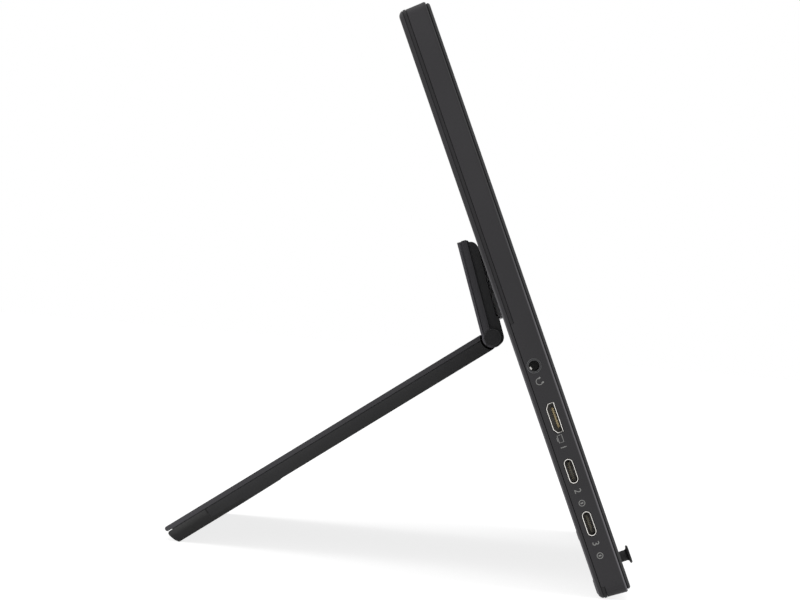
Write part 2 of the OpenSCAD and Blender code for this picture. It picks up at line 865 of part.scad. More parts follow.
// Skin of the bracket, with end walls that reach down beside the shell
module bracket_cover() {
  color("#3b3a3d") place_bracket() {
    difference() {
      box(-stand_x, stand_x, shell_out, knuckle_r, cover_low, bracket_top - 0.3);
      rod_x(-cheek_x0, cheek_x0, barrel_r + barrel_gap + 0.1);
      both_sides() rod_x(cheek_x1, far, cap_r + cap_gap);
      both_sides() box(stand_x - 0.35, far, groove_y - groove_w, groove_y, -far, far);
    }
    both_sides() difference() {
      along_x(cheek_x1 + 0.2, stand_x) difference() {
        union() {
          translate([side_wall_y, cover_low])
            square([shell_out + eps - side_wall_y, bracket_top - 0.3 - cover_low]);
          intersection() {
            circle(knuckle_r);
            translate([side_wall_y, -knuckle_r]) square(2 * knuckle_r);
          }
        }
        circle(cap_r + cap_gap);
      }
    }
  }
}

module pivot_caps() {
  edge = 0.25;
  color("#3d3d40") place_bracket() both_sides() {
    rod_x(cheek_x1, stand_x - edge, cap_r);
    translate([stand_x - edge, 0, 0]) rotate([0, 90, 0]) cylinder(h = edge, r1 = cap_r, r2 = cap_r - edge);
  }
}

module lower_hinge_shafts() {
  color("#aeb0b3") place_bracket() both_sides() rod_x(lower_pin_x0, cheek_x1, lower_pin_r);
}

// Leg

// Rounded end of the leg's body in (y, z), from under its skin to its underside
leg_end = [[leg_body_top, -leg_len + 0.3], [0.4, -leg_len - 0.3], [-0.6, -leg_len - 0.2],
  [-2.9, -leg_len + 0.7], [-knuckle_r, -leg_len + 1.6]];

// Side view of the leg's body in (y, z), under its skin
module leg_side() {
  difference() {
    polygon(concat([[-knuckle_r, 0], [leg_body_top, 0]], leg_end));
    circle(leg_start_r);
  }
}

module leg_plan(grow, z0) {
  round_rect(-stand_x - grow, stand_x + grow, -leg_len - 2, z0, leg_corner_r);
}

// A tray with ribs, its barrel and the neck between them
module leg_shell() {
  inner_x = stand_x - leg_wall;
  bay_w = 2 * inner_x / bays_x;
  color("#2f2e31") place_leg() difference() {
    union() {
      intersection() {
        along_x(-stand_x, stand_x) leg_side();
        along_y(-far, far) leg_plan(0, far);
      }
      rod_x(-cheek_x0 + 0.6, cheek_x0 - 0.6, barrel_r);
      box(-cheek_x0 + 0.6, cheek_x0 - 0.6, -barrel_r, neck_top, -6.5, 0);
      along_x(-cheek_x0 + 0.6, cheek_x0 - 0.6) difference() {
        translate([-knuckle_r, -8]) square([knuckle_r + leg_body_top, 5]);
        circle(leg_start_r);
      }
    }
    // bays between the ribs, closed by the skin, with a boss for each screw
    difference() {
      for (i = [0:bays_x - 1], j = [0:2])
        box(i * bay_w - inner_x + rib_t / 2, (i + 1) * bay_w - inner_x - rib_t / 2,
          leg_floor - knuckle_r, far, -bay_z - (j + 1) * bay_h + rib_t, -bay_z - j * bay_h);
      leg_screw_spots() rod_y(-knuckle_r, leg_body_top, boss_r);
    }
    leg_screw_spots() {
      rod_y(-far, far, screw_hole_r);
      rod_y(-far, screw_head_t + head_sink - knuckle_r, screw_head_r + head_gap);
    }
    leg_foot_space();
    both_sides() {
      rod_x(lower_pin_x0 - 0.5, far, lower_pin_r + fit_gap);
      rod_x(clip_x0 - 0.1, clip_x1 + 0.1, clip_r + fit_gap);
    }
  }
}

// What the rubber foot fills: the end of the leg and a step along its underside
module leg_foot_space() {
  box(-far, far, -far, far, -far, -cap_w0);
  box(-far, far, -far, foot_step_q, -cap_w0 - eps, -pad_w0);
}

module leg_foot() {
  color("#19191a") intersection() {
    place_leg() intersection() {
      along_x(-stand_x, stand_x) polygon(concat([[foot_step_q, -cap_w0], [leg_body_top, -cap_w0]],
        leg_end, [[contact_q, -contact_w], [contact_q, -pad_w0 - 0.5], [-knuckle_r, -pad_w0],
        [foot_step_q, -pad_w0]]));
      along_y(-far, far) leg_plan(0, far);
    }
    box(-far, far, -far, far, 0, far);
  }
}

// Skin of the leg: a plate on a narrower tongue, so that a fine seam shows all round
module leg_cover() {
  lip = 0.8;
  color("#3c3b3e") place_leg() intersection() {
    union() {
      along_x(-stand_x, stand_x) difference() {
        union() {
          translate([leg_skin - leg_skin_t, -leg_len + 0.4]) square([leg_skin_t, leg_len - 0.4]);
          intersection() {
            translate([leg_skin - leg_skin_t / 2, -leg_len + 0.4]) circle(leg_skin_t / 2);
            translate([0, -leg_len - 1]) square([far, 3]);
          }
        }
        circle(leg_start_r);
      }
      box(-stand_x + lip, stand_x - lip, leg_body_top, leg_skin - leg_skin_t + eps, -leg_len + 2, -6);
    }
    along_y(-far, far) leg_plan(0, far);
  }
}

module friction_clips() {
  color("#8b8d90") place_leg() both_sides() difference() {
    rod_x(clip_x0, clip_x1, clip_r);
    rod_x(0, far, lower_pin_r + 0.04);
    box(0, far, -0.4, 0.4, 0, far);
  }
}

module leg_screw_spots() {
  for (x = leg_screws_x, row = [1, 2])
    translate([x, 0, 4 + rib_t / 2 - bay_z - row * bay_h]) children();
}

module leg_screws() {
  head_y0 = head_sink - knuckle_r;
  color("#6f7174") place_leg() leg_screw_spots() difference() {
    union() {
      rod_y(head_y0 + screw_head_t, leg_body_top, screw_r);
      rod_y(head_y0, head_y0 + screw_head_t, screw_head_r);
    }
    translate([0, head_y0, 0]) cross_recess();
  }
}

front_bezel();
display_panel();
backlight_unit();
panel_tray();
panel_board();
panel_cable();
mid_frame();
rear_cover();
main_board();
shield_can();
audio_jack();
video_socket();
usb_socket_upper();
usb_socket_lower();
speaker_left();
speaker_right();
cover_screws();
board_screws();
table_feet();
joystick_base();
joystick_yoke();
joystick_stem();
joystick_cap();
swivel_disc();
swivel_retainer();
swivel_washer();
retainer_screws();
upper_hinge_base();
upper_hinge_shafts();
bracket_shell();
bracket_cover();
pivot_caps();
lower_hinge_shafts();
leg_shell();
leg_cover();
leg_foot();
friction_clips();
leg_screws();
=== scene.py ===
"""Looks of a thin portable monitor on its folding stand: camera, light, finishes and small details."""
import json
import math

import bmesh
import bpy
from mathutils import Matrix, Vector


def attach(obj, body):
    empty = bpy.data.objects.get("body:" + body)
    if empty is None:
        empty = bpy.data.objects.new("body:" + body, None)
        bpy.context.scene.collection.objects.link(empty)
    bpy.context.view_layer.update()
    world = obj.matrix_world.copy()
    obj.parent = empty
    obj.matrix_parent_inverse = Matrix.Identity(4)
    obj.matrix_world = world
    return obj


MM = 0.001

# Housing, in millimetres in the monitor's own frame: x to the right seen from the front,
# y backwards from the bezel's face, z up along the monitor from its bottom edge
HALF_WIDTH = 178.0
DEPTH = 11.9
HEIGHT = 224.0
CORNER = 4.0
SWIVEL_Z = 112.0

# Side face of the housing: where it starts, how deep it is and how much it tapers
SIDE_FROM = 1.75
SIDE_FLAT = 7.0
SIDE_TAPER = 0.45

# Strips in the two grooves round the housing: nearest and furthest depth, and inset of their outer face
FRONT_SEAM = (0.97, 1.28, 0.95)
REAR_SEAM = (8.77, 8.93, 0.65)
SEAM_WIDTH = 0.5

# Sockets on the left side: inset of their mouths, centres as (y, z), and size of the oval mouths
PORT_FACE = 0.75
JACK_FACE = 0.4
JACK = (6.9, 87.3)
VIDEO = (6.2, 67.3)
USB_UPPER = (6.65, 47.4)
USB_LOWER = (6.65, 27.6)
USB_MOUTH = (3.3, 9.1)

# Rounded edges of the jack's ring, each as name, radius and thickness
JACK_COLLARS = (("outer", 2.6, 0.1), ("inner", 2.1, 0.07))

# Half width and half length of the wide socket's mouth, and size of its cut corners
VIDEO_HALF = (1.7, 5.55)
VIDEO_CUT = 1.1

# Tongues in the sockets as (thickness, length), what the moulded one adds to these, depth of its middle
# behind the mouth and its reach, where the contacts end, and offset of the wide socket's tongue
VIDEO_TONGUE = (0.6, 7.8)
USB_TONGUE = (0.66, 6.6)
TONGUE_SKIN = 0.05
TONGUE_MIDDLE = 4.1
TONGUE_REACH = 6.3
CONTACT_END = 6.7
VIDEO_OFFSET = -0.45

# Front edge of the wide socket's tongue, painted pale as a highlight: depth of its middle, and its size
LIP_MIDDLE = 0.85
LIP_SIZE = (0.3, 0.3, 7.6)

# Printed marks: how proud they stand, widths of their lines, and their places and sizes on the side.
# A drop is the distance of a mark below the centre of its socket
MARK_PROUD = 0.015
MARK_LINE = 0.26
MARK_FINE_LINE = 0.24
MARK_BROAD_LINE = 0.5
MARK_PAD = 0.55
LISTENING_PLACE = (6.9, 81.4)
SCREEN_MARK_PLACE = (6.6, 59.6)
VIDEO_DIGIT_PLACE = (6.5, 56.4)
VIDEO_DIGIT_SIZE = 3.2
USB_DIGIT_SIZE = 3.5
USB_DIGIT_Y = 6.8
USB_DIGIT_DROP = 7.4
RING_MARK_Y = 6.7
RING_MARK_DROP = 12

# Screen: half width, bottom and top of the lit area, depth of the glass, and how proud the area stands
ACTIVE = (172.1, 22.7, 215.7)
GLASS_DEPTH = 1.0
AREA_PROUD = 0.02

# Stand: half width, depth of the painted light and shade on its side faces, radius of the bracket's round
# end, height of the bracket's groove over the hinge, and the leg's slope, length, top and foot seam
STAND_HALF = 90.0
SIDE_BAND = 1.7
KNUCKLE = 4.1
GROOVE = 3.15
LEG_SLOPE = 36.3
LEG_LENGTH = 147.6
LEG_TOP = 3.27
FOOT_SEAM = 130.0

# Rims of the round caps at the lower hinge as (radius, thickness), and how deep they sit
CAP_RIM = (3.2, 0.1)
CAP_RIM_INSET = 0.08

# Camera fitted to the photograph, in metres and degrees. Its focal length is worked out in image widths
# from the photograph's pixels, and the last two are its sensor and the distances between which it sees
CAMERA_AT = (-1.2099, -0.0373, 0.0907)
CAMERA_YAW = 2.226
CAMERA_PITCH = 0.535
CAMERA_ROLL = 4.928
PHOTO_WIDTH = 800
FOCAL_PIXELS = 2882.1
FOCAL_WIDTHS = FOCAL_PIXELS / PHOTO_WIDTH
SENSOR_MM = 36
CLIP = (0.05, 50)

# Materials: radius in metres of the softened edges that catch the light, scales of the drift in a
# plastic's colour and of a metal's lines, how much the gloss of each varies, and how those lines
# are stretched where the metal is brushed and where it is even
EDGE_SOFTNESS = 0.00018
DRIFT_SCALE = 35
BRUSH_SCALE = 900
PLASTIC_DRIFT = 0.06
METAL_DRIFT = 0.1
BRUSHED = (60, 1, 1)
UNBRUSHED = (1, 1, 1)

# Light: level of the surroundings, tone of the floor and the same where it is seen directly, how much
# it is lifted there, its half width in metres, and the point that all lamps face
WORLD_LEVEL = 0.7
FLOOR_UNSEEN = 0.8
FLOOR_SEEN = 0.3
FLOOR_LIFT = 0.82
FLOOR_HALF = 12
LAMP_TARGET = (0, 0, 0.1)
# Each lamp as name, place in metres, size in metres and power in watts
LAMPS = [
    ("top", (0, 0.1, 2.2), 2.0, 14),
    ("front", (-0.6, -1.9, 0.9), 1.2, 10),
    ("left", (-2.6, -0.3, 0.8), 1.8, 10),
    ("back", (0.5, 1.9, 1.0), 1.2, 6),
]

# Nodes whose finish differs from their slot's: the back has zones of painted shade and painted highlight,
# the stand's plates have painted light and shade through their thickness or along them, and the sockets are
# painted dark inside their bright rims as painted shade
FINISH_FOR = {
    "rear_cover": "housing_back",
    "bracket_shell": "bracket_dark",
    "bracket_cover": "bracket_skin",
    "leg_cover": "leg_skin",
    "video_socket": "socket_shell",
    "usb_socket_upper": "socket_shell",
    "usb_socket_lower": "socket_shell",
}


def joint(name):
    """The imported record's joint of that name."""
    return next(j for j in frame["joints"] if j["name"] == name)


def monitor_frame():
    """Matrix from the monitor's own frame in millimetres to the object's frame in metres."""
    front = Vector(joint("stand_swivel")["axis"])
    rear = -front
    right = Vector((1, 0, 0))
    up = right.cross(rear)
    centre = Vector(joint("stand_swivel")["pos_m"])
    origin = centre - rear * DEPTH * MM - up * SWIVEL_Z * MM
    turn = Matrix((right, rear, up)).transposed().to_4x4()
    return Matrix.Translation(origin) @ turn @ Matrix.Scale(MM, 4)


# Colours and shader nodes


def srgb(value):
    """Linear value of an 8-bit grey."""
    c = value / 255
    return c / 12.92 if c <= 0.04045 else ((c + 0.055) / 1.055) ** 2.4


def colour(r, g, b):
    """Linear colour of three 8-bit values."""
    return (srgb(r), srgb(g), srgb(b), 1)


def grey(level):
    return (level, level, level, 1)


def new_material(name):
    material = bpy.data.materials.new(name)
    material.use_nodes = True
    tree = material.node_tree
    return material, tree, tree.nodes["Principled BSDF"]


def shader_of(material):
    return material.node_tree.nodes["Principled BSDF"]


def add(tree, kind, **sockets):
    """A node with some of its sockets set, named with _ for each space."""
    node = tree.nodes.new(kind)
    for name, value in sockets.items():
        node.inputs[name.replace("_", " ")].default_value = value
    return node


def object_place(tree):
    return tree.nodes.new("ShaderNodeTexCoord").outputs["Object"]


def math_of(tree, operation, *values):
    """A sum, product or the like of linked values."""
    node = tree.nodes.new("ShaderNodeMath")
    node.operation = operation
    for socket, value in zip(node.inputs, values):
        tree.links.new(value, socket)
    return node.outputs["Value"]


def spread(tree, value, low, high):
    """0 to 1 brought to a range."""
    node = add(tree, "ShaderNodeMapRange", To_Min=low, To_Max=high)
    tree.links.new(value, node.inputs["Value"])
    return node.outputs["Result"]


def share_of(tree, value, low, high):
    """0 to 1 between two distances in metres."""
    node = add(tree, "ShaderNodeMapRange", From_Min=low, From_Max=high)
    tree.links.new(value, node.inputs["Value"])
    return node.outputs["Result"]


def along(tree, axis, low, high):
    """0 to 1 between two distances along an axis of the object's frame."""
    dot = tree.nodes.new("ShaderNodeVectorMath")
    dot.operation = "DOT_PRODUCT"
    dot.inputs[1].default_value = axis
    tree.links.new(object_place(tree), dot.inputs[0])
    return share_of(tree, dot.outputs["Value"], low, high)


def grey_ramp(tree, position, stops):
    """Grey levels along a position, given as (place, level)."""
    ramp = tree.nodes.new("ShaderNodeValToRGB")
    first, last = ramp.color_ramp.elements
    first.position, last.position = stops[0][0], stops[-1][0]
    first.color, last.color = grey(stops[0][1]), grey(stops[-1][1])
    for where, level in stops[1:-1]:
        ramp.color_ramp.elements.new(where).color = grey(level)
    tree.links.new(position, ramp.inputs["Fac"])
    return ramp.outputs["Color"]


def multiplied(tree, shader, level):
    """Multiplies the colour that the material has so far."""
    mix = tree.nodes.new("ShaderNodeMix")
    mix.data_type = "RGBA"
    mix.blend_type = "MULTIPLY"
    mix.inputs["Factor"].default_value = 1
    before = shader.inputs["Base Color"].links[0].from_socket
    tree.links.new(before, mix.inputs["A"])
    tree.links.new(level, mix.inputs["B"])
    tree.links.new(mix.outputs["Result"], shader.inputs["Base Color"])


def toned(tree, shader, position, stops):
    multiplied(tree, shader, grey_ramp(tree, position, stops))


# Base materials


def mottled(tree, shader, low, high, scale):
    """Colour that drifts between two close tones."""
    noise = add(tree, "ShaderNodeTexNoise", Scale=scale, Detail=3.0)
    ramp = tree.nodes.new("ShaderNodeValToRGB")
    ramp.color_ramp.elements[0].position = 0.35
    ramp.color_ramp.elements[1].position = 0.65
    ramp.color_ramp.elements[0].color = low
    ramp.color_ramp.elements[1].color = high
    tree.links.new(object_place(tree), noise.inputs["Vector"])
    tree.links.new(noise.outputs["Fac"], ramp.inputs["Fac"])
    tree.links.new(ramp.outputs["Color"], shader.inputs["Base Color"])


def grained(tree, shader, scale, depth, rough, rough_drift):
    """Fine grain, its depth in millimetres, in the surface and in its gloss, on softened edges."""
    place = object_place(tree)
    fine = add(tree, "ShaderNodeTexNoise", Scale=scale, Detail=4.0, Roughness=0.6)
    cells = add(tree, "ShaderNodeTexVoronoi", Scale=scale * 0.55)
    bump = add(tree, "ShaderNodeBump", Strength=0.35, Distance=depth * MM)
    edges = add(tree, "ShaderNodeBevel", Radius=EDGE_SOFTNESS)
    for texture in (fine, cells):
        tree.links.new(place, texture.inputs["Vector"])
    height = math_of(tree, "ADD", fine.outputs["Fac"], cells.outputs["Distance"])
    tree.links.new(edges.outputs["Normal"], bump.inputs["Normal"])
    tree.links.new(height, bump.inputs["Height"])
    tree.links.new(bump.outputs["Normal"], shader.inputs["Normal"])
    gloss = spread(tree, fine.outputs["Fac"], rough - rough_drift, rough + rough_drift)
    tree.links.new(gloss, shader.inputs["Roughness"])


def moulded(name, low, high, rough=0.55, grain=2600, depth=0.03, specular=0.35):
    """Moulded or sprayed plastic between two tones, with the depth of its grain in millimetres."""
    material, tree, shader = new_material(name)
    shader.inputs["Specular IOR Level"].default_value = specular
    mottled(tree, shader, low, high, DRIFT_SCALE)
    grained(tree, shader, grain, depth, rough, PLASTIC_DRIFT)
    return material


def fine_plastic(name, low, high, rough, specular):
    """Plastic of a small piece, with a fine shallow grain."""
    return moulded(name, low, high, rough, 3000, 0.01, specular)


def metal(name, tone, rough, stretch=BRUSHED):
    """Metal, brushed in lines or even."""
    material, tree, shader = new_material(name)
    shader.inputs["Metallic"].default_value = 1
    shader.inputs["Base Color"].default_value = tone
    mapping = add(tree, "ShaderNodeMapping", Scale=stretch)
    lines = add(tree, "ShaderNodeTexNoise", Scale=BRUSH_SCALE, Detail=3.0)
    bump = add(tree, "ShaderNodeBump", Strength=0.15, Distance=0.01 * MM)
    tree.links.new(object_place(tree), mapping.inputs["Vector"])
    tree.links.new(mapping.outputs["Vector"], lines.inputs["Vector"])
    gloss = spread(tree, lines.outputs["Fac"], rough - METAL_DRIFT, rough + METAL_DRIFT)
    tree.links.new(gloss, shader.inputs["Roughness"])
    tree.links.new(lines.outputs["Fac"], bump.inputs["Height"])
    tree.links.new(bump.outputs["Normal"], shader.inputs["Normal"])
    return material


def screen_glass():
    """Dark anti-glare face of a screen that is off."""
    material, tree, shader = new_material("screen_antiglare")
    shader.inputs["Specular IOR Level"].default_value = 0.14
    mottled(tree, shader, colour(8, 8, 9), colour(11, 11, 12), 9)
    grained(tree, shader, scale=5200, depth=0.01, rough=0.36, rough_drift=0.04)
    return material


def lit_area():
    """Cells of a screen that is off: dark, a little bluer and smoother than their border."""
    material, tree, shader = new_material("screen_cells")
    shader.inputs["Specular IOR Level"].default_value = 0.12
    mottled(tree, shader, colour(14, 15, 18), colour(17, 18, 22), 7)
    grained(tree, shader, scale=6500, depth=0.008, rough=0.34, rough_drift=0.03)
    return material


def circuit_board():
    """Green solder mask with tracks."""
    material, tree, shader = new_material("circuit_board")
    tracks = add(tree, "ShaderNodeTexBrick", Scale=420.0, Mortar_Size=0.06, Color1=colour(24, 66, 40),
                 Color2=colour(28, 74, 46), Mortar=colour(58, 104, 62))
    tree.links.new(object_place(tree), tracks.inputs["Vector"])
    tree.links.new(tracks.outputs["Color"], shader.inputs["Base Color"])
    shader.inputs["Roughness"].default_value = 0.4
    return material


# Materials with zones


def monitor_axis(tree, axis, length):
    """0 to 1 along one of the monitor's own axes, over a length in millimetres."""
    direction = (monitor.to_3x3() @ Vector(axis)).normalized()
    start = monitor.translation.dot(direction)
    return along(tree, direction, start, start + length * MM)


def housing_painted_light_zones(name, upper, lower):
    """Housing paint with painted shade in its grooves and recesses and painted highlights and reflections on
    its edges, as (depth in mm, level).

    The first list holds near the top edge, the second from half way down."""
    material = moulded(name, colour(46, 45, 47), colour(49, 48, 50), specular=0.2)
    tree = material.node_tree
    depth = monitor_axis(tree, (0, 1, 0), DEPTH)
    height = monitor_axis(tree, (0, 0, 1), HEIGHT)
    blend = tree.nodes.new("ShaderNodeMix")
    blend.data_type = "RGBA"
    for socket, zones in (("A", lower), ("B", upper)):
        stops = [(place / DEPTH, level) for place, level in zones]
        tree.links.new(grey_ramp(tree, depth, stops), blend.inputs[socket])
    share = grey_ramp(tree, height, [(0, 0), (0.42, 0.0), (0.68, 1), (1, 1)])
    tree.links.new(share, blend.inputs["Factor"])
    multiplied(tree, shader_of(material), blend.outputs["Result"])
    # Painted light from above: lighter towards the top edge, a little darker below the middle.
    toned(tree, shader_of(material), height, [(0, 1.0), (0.4, 0.9), (0.7, 0.98), (1, 1.15)])
    return material


def band_paint_and_painted_light():
    """Middle band: painted shade in the groove behind the bezel, then a painted highlight on the front edge,
    brighter low down.
    """
    return housing_painted_light_zones("housing_paint_and_painted_light",
                         [(0, 0.3), (1.3, 0.3), (1.35, 0.95), (1.75, 0.85), (2.8, 1), (11.9, 1)],
                         [(0, 0.3), (1.3, 0.3), (1.35, 4.2), (1.75, 3.0), (2.0, 0.95), (11.9, 1)])


def back_paint_and_painted_light():
    """Rear cover: painted shade in a recessed band and its fine line, and a painted reflection on its round
    edge, bright low down and darker near the top.
    """
    return housing_painted_light_zones("back_paint_and_painted_light",
                         [(0, 0.6), (8.9, 0.6), (10.1, 0.68), (10.15, 0.4), (10.35, 1.25), (11, 1.1),
                          (11.9, 0.6)],
                         [(0, 0.6), (8.9, 0.6), (10.1, 0.68), (10.15, 0.4), (10.35, 1.3), (11.2, 1.3),
                          (11.5, 3.2), (11.9, 3.5)])


def side_faces_only(tree, level):
    """Keeps painted light and shade to the two side faces of the stand, and leaves the rest as it is."""
    split = tree.nodes.new("ShaderNodeSeparateXYZ")
    tree.links.new(object_place(tree), split.inputs["Vector"])
    size = math_of(tree, "ABSOLUTE", split.outputs["X"])
    share = share_of(tree, size, (STAND_HALF - SIDE_BAND) * MM, (STAND_HALF - SIDE_BAND / 2) * MM)
    blend = tree.nodes.new("ShaderNodeMix")
    blend.data_type = "RGBA"
    blend.inputs["A"].default_value = grey(1)
    tree.links.new(share, blend.inputs["Factor"])
    tree.links.new(level, blend.inputs["B"])
    return blend.outputs["Result"]


def bracket_through(tree):
    """0 to 1 through the bracket, from its inner face to its skin."""
    low = Vector(joint("leg_hinge")["pos_m"])
    up = (Vector(joint("bracket_hinge")["pos_m"]) - low).normalized()
    outwards = up.cross(Vector((1, 0, 0)))
    start = low.dot(outwards)
    return along(tree, outwards, start - KNUCKLE * MM, start + KNUCKLE * MM)


def skin_paint(name, specular):
    """Paint of the stand's skins."""
    return moulded(name, colour(56, 55, 58), colour(60, 59, 62), 0.5, specular=specular)


def bracket_skin():
    """Skin of the bracket, whose sides have painted light: lighter towards and outside their groove, with
    painted shade in the groove.
    """
    material = skin_paint("bracket_skin", 0.2)
    tree = material.node_tree
    edge = 0.5 + GROOVE / KNUCKLE / 2
    tones = grey_ramp(tree, bracket_through(tree),
                      [(0.52, 0.85), (0.6, 1.1), (0.72, 1.3), (edge - 0.05, 1.4), (edge - 0.035, 0.75),
                       (edge, 0.8), (edge + 0.01, 2.6), (1, 2.6)])
    multiplied(tree, shader_of(material), side_faces_only(tree, tones))
    return material


def dark_plastic(name):
    """Plain dark plastic of the stand's bodies."""
    return moulded(name, colour(39, 39, 40), colour(43, 43, 44), 0.6, 2400, specular=0.2)


def bracket_dark():
    """Dark body of the bracket, with painted light that lifts it towards its skin, where the skin's step
    throws shade.
    """
    material = dark_plastic("bracket_dark")
    tree = material.node_tree
    toned(tree, shader_of(material), bracket_through(tree),
          [(0, 1), (0.2, 1.05), (0.33, 1.3), (0.43, 1.8), (0.5, 2.5), (1, 2.5)])
    return material


def leg_axes(tree):
    """0 to 1 through the leg's thickness, from its underside up, and along it from the hinge."""
    slope = math.radians(LEG_SLOPE)
    hinge = Vector(joint("leg_hinge")["pos_m"])
    outwards = Vector((0, math.sin(slope), math.cos(slope)))
    down = Vector((0, math.cos(slope), -math.sin(slope)))
    start = hinge.dot(outwards)
    through = along(tree, outwards, start - KNUCKLE * MM, start + LEG_TOP * MM)
    start = hinge.dot(down)
    return through, along(tree, down, start, start + LEG_LENGTH * MM)


def leg_zones(material, through_stops, length_stops):
    """Tones through the leg's thickness and along it, from the hinge to the foot."""
    tree = material.node_tree
    through, length = leg_axes(tree)
    toned(tree, shader_of(material), through, through_stops)
    toned(tree, shader_of(material), length, length_stops)
    return material


def leg_skin():
    """Skin of the leg, lighter towards the foot."""
    material = skin_paint("leg_skin_paint", 0.25)
    return leg_zones(material, [(0, 1), (1, 1)], [(0, 1), (0.75, 1.05), (1, 1.5)])


def leg_body():
    """Body of the leg, with painted shade towards its underside, and a little darker near the hinge."""
    material = moulded("leg_body_plastic_and_painted_shade", colour(45, 45, 46), colour(49, 49, 50), grain=2400, specular=0.2)
    return leg_zones(material, [(0, 0.62), (0.4, 0.75), (0.8, 1.05), (1, 1.0)],
                     [(0, 0.85), (0.2, 0.95), (1, 1.05)])


def foot_rubber_and_painted_light():
    """Foot, with painted shade in a short notch under the skin where it meets the leg, painted shade on its
    underside and painted light on its upper side.
    """
    material = moulded("foot_rubber_and_painted_light", colour(52, 52, 52), colour(58, 58, 58), 0.8, 1800, 0.05, 0.15)
    leg_zones(material, [(0, 0.62), (0.35, 0.75), (0.55, 1.3), (0.8, 1.75), (1, 1.3)], [(0, 1), (1, 1)])
    tree = material.node_tree
    through, length = leg_axes(tree)
    seam = FOOT_SEAM / LEG_LENGTH
    across = grey_ramp(tree, length, [(0, 0), (seam - 0.002, 0), (seam, 1), (seam + 0.004, 1),
                                      (seam + 0.006, 0), (1, 0)])
    upper = grey_ramp(tree, through, [(0, 0), (0.4, 0), (0.5, 1), (1, 1)])
    # Painted shade in the notch where the foot meets the leg.
    toned(tree, shader_of(material), math_of(tree, "MULTIPLY", across, upper), [(0, 1), (1, 0.3)])
    return material


def make_materials():
    """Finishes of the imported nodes, by their slot or the name in FINISH_FOR, and of the lit area."""
    return {
        "bezel": moulded("bezel_matt", colour(53, 53, 54), colour(57, 57, 58), 0.55, 3000, 0.02, 0.12),
        "housing": band_paint_and_painted_light(),
        "housing_back": back_paint_and_painted_light(),
        "screen": screen_glass(),
        "active_area": lit_area(),
        "light_unit": moulded("light_film", colour(225, 225, 220), colour(232, 232, 228), 0.6),
        "sheet_metal": metal("sheet_metal", (0.62, 0.62, 0.64, 1), 0.4, (40, 1, 1)),
        "board_green": circuit_board(),
        "flat_cable": moulded("flat_cable", colour(176, 132, 62), colour(190, 146, 72), 0.35),
        "shield": metal("shield_tin", (0.6, 0.6, 0.6, 1), 0.35),
        "socket_black": fine_plastic("socket_black", colour(20, 20, 21), colour(25, 25, 26), 0.4, 0.35),
        # Inside of the sockets painted dark as painted shade.
        "socket_shell": metal("socket_painted_shade", (0.09, 0.085, 0.08, 1), 0.45),
        "speaker": moulded("speaker_plastic", colour(26, 26, 27), colour(30, 30, 31), 0.5),
        "screw": metal("screw_zinc", (0.18, 0.18, 0.19, 1), 0.35, UNBRUSHED),
        "rubber_black": foot_rubber_and_painted_light(),
        "joystick": moulded("joystick_rubber", colour(26, 26, 27), colour(32, 32, 33), 0.6, 2400, 0.02, 0.3),
        "switch_plastic": moulded("switch_plastic", colour(205, 205, 196), colour(214, 214, 206), 0.5),
        "hinge_steel": metal("hinge_steel", (0.5, 0.5, 0.52, 1), 0.25),
        "hinge_leaf": metal("hinge_leaf_satin", (0.42, 0.42, 0.43, 1), 0.4),
        "turntable": moulded("turntable_paint", colour(52, 51, 53), colour(56, 55, 57), 0.45, 2600, 0.02),
        "stand_dark": dark_plastic("stand_dark"),
        "bracket_dark": bracket_dark(),
        "bracket_skin": bracket_skin(),
        "leg_skin": leg_skin(),
        "leg_body": leg_body(),
    }


def dress_nodes(materials):
    """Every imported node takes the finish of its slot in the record, or its own."""
    for part in frame["record"]["subparts"]:
        node = frame["nodes"][part["node"]]
        node.data.materials.clear()
        node.data.materials.append(materials[FINISH_FOR.get(part["node"], part["material_slot"])])


# Mesh helpers


def piece(name, bm, material, body, place):
    """A mesh drawn in millimetres in its own frame, put in place and riding on a body."""
    mesh = bpy.data.meshes.new(name)
    bm.transform(place)
    bm.to_mesh(mesh)
    bm.free()
    mesh.materials.append(material)
    obj = bpy.data.objects.new(name, mesh)
    bpy.context.scene.collection.objects.link(obj)
    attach(obj, body)


def port_place(at, face=PORT_FACE):
    """Frame at a socket's mouth: X into the housing, Y backwards, Z up."""
    return monitor @ Matrix.Translation((face - HALF_WIDTH, *at))


def stadium(short, long, steps=10):
    """Outline with round ends, long along its second axis."""
    r = short / 2
    reach = (long - short) / 2
    points = []
    for end in (1, -1):
        for i in range(steps + 1):
            a = math.pi * i / steps
            points.append((end * r * math.cos(a), end * (reach + r * math.sin(a))))
    return points


def ring(radius, steps=40):
    turns = [2 * math.pi * i / steps for i in range(steps)]
    return [(radius * math.cos(a), radius * math.sin(a)) for a in turns]


def arc(radius, first, last, step=20):
    turns = [math.radians(a) for a in range(first, last + 1, step)]
    return [(radius * math.cos(a), radius * math.sin(a)) for a in turns]


def rounded_outline(inset, steps=8):
    """Outline of the housing drawn in by an inset, as (minus x, z)."""
    radius = CORNER - inset
    points = []
    for quarter, (side, level) in enumerate(((-1, 1), (1, 1), (1, -1), (-1, -1))):
        centre_x = side * (HALF_WIDTH - CORNER)
        centre_z = HEIGHT / 2 + level * (HEIGHT / 2 - CORNER)
        for i in range(steps + 1):
            a = math.radians(180 - 90 * (quarter + i / steps))
            points.append((-centre_x - radius * math.cos(a), centre_z + radius * math.sin(a)))
    return points


def grown(points, by):
    """An outline moved outwards by a distance, point by point."""
    result = []
    for i, (y, z) in enumerate(points):
        y0, z0 = points[i - 1]
        y1, z1 = points[(i + 1) % len(points)]
        ny, nz = z1 - z0, y0 - y1
        length = math.hypot(ny, nz) or 1
        result.append((y + by * ny / length, z + by * nz / length))
    return result


